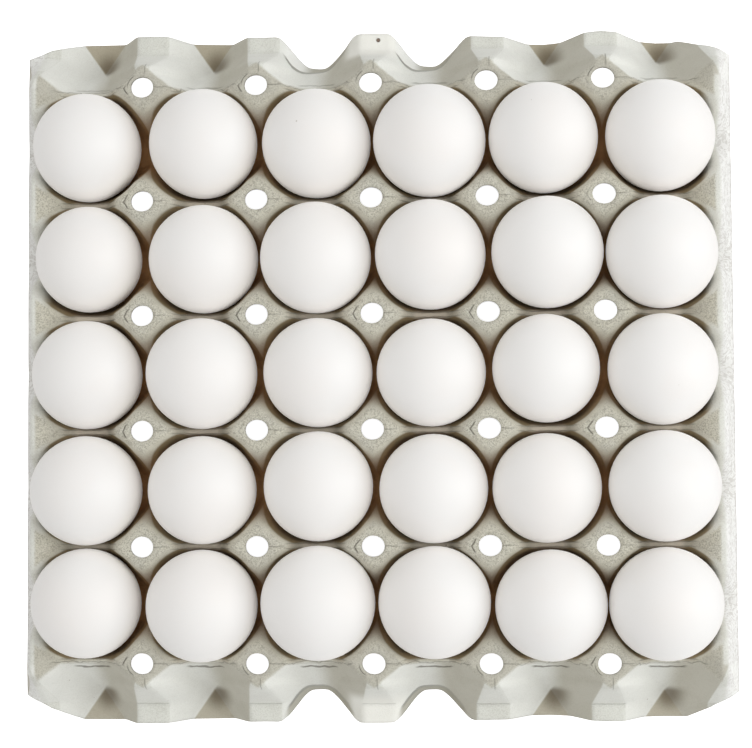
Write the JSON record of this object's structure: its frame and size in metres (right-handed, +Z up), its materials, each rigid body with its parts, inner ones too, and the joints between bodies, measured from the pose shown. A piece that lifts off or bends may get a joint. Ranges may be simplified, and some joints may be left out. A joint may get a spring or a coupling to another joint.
{
  "type": "open egg carton tray with eggs",
  "caption": "Open moulded-pulp egg tray with holed posts, finger-notched end flaps and whole white eggs standing in its cups.",
  "frame": {"origin": "centre of the footprint, on the plane that the cup floors stand on", "axes": "+Z up; X along the long rows of cups, Y towards the end flaps, +Y the picture's top"},
  "size_m": [0.2982, 0.292, 0.0675],
  "materials": {
    "pulp": "matt grey moulded paper pulp",
    "eggshell": "satin white shell"
  },
  "bodies": {
    "root": {"tray": "pulp", "egg_1_1": "eggshell", "egg_1_2": "eggshell", "egg_1_3": "eggshell", "egg_1_4": "eggshell", "egg_1_5": "eggshell", "egg_1_6": "eggshell", "egg_2_1": "eggshell", "egg_2_2": "eggshell", "egg_2_3": "eggshell", "egg_2_4": "eggshell", "egg_2_5": "eggshell", "egg_2_6": "eggshell", "egg_3_1": "eggshell", "egg_3_2": "eggshell", "egg_3_3": "eggshell", "egg_3_4": "eggshell", "egg_3_5": "eggshell", "egg_3_6": "eggshell", "egg_4_1": "eggshell", "egg_4_2": "eggshell", "egg_4_3": "eggshell", "egg_4_4": "eggshell", "egg_4_5": "eggshell", "egg_4_6": "eggshell", "egg_5_1": "eggshell", "egg_5_2": "eggshell", "egg_5_3": "eggshell", "egg_5_4": "eggshell", "egg_5_5": "eggshell", "egg_5_6": "eggshell"}
  },
  "joints": []
}
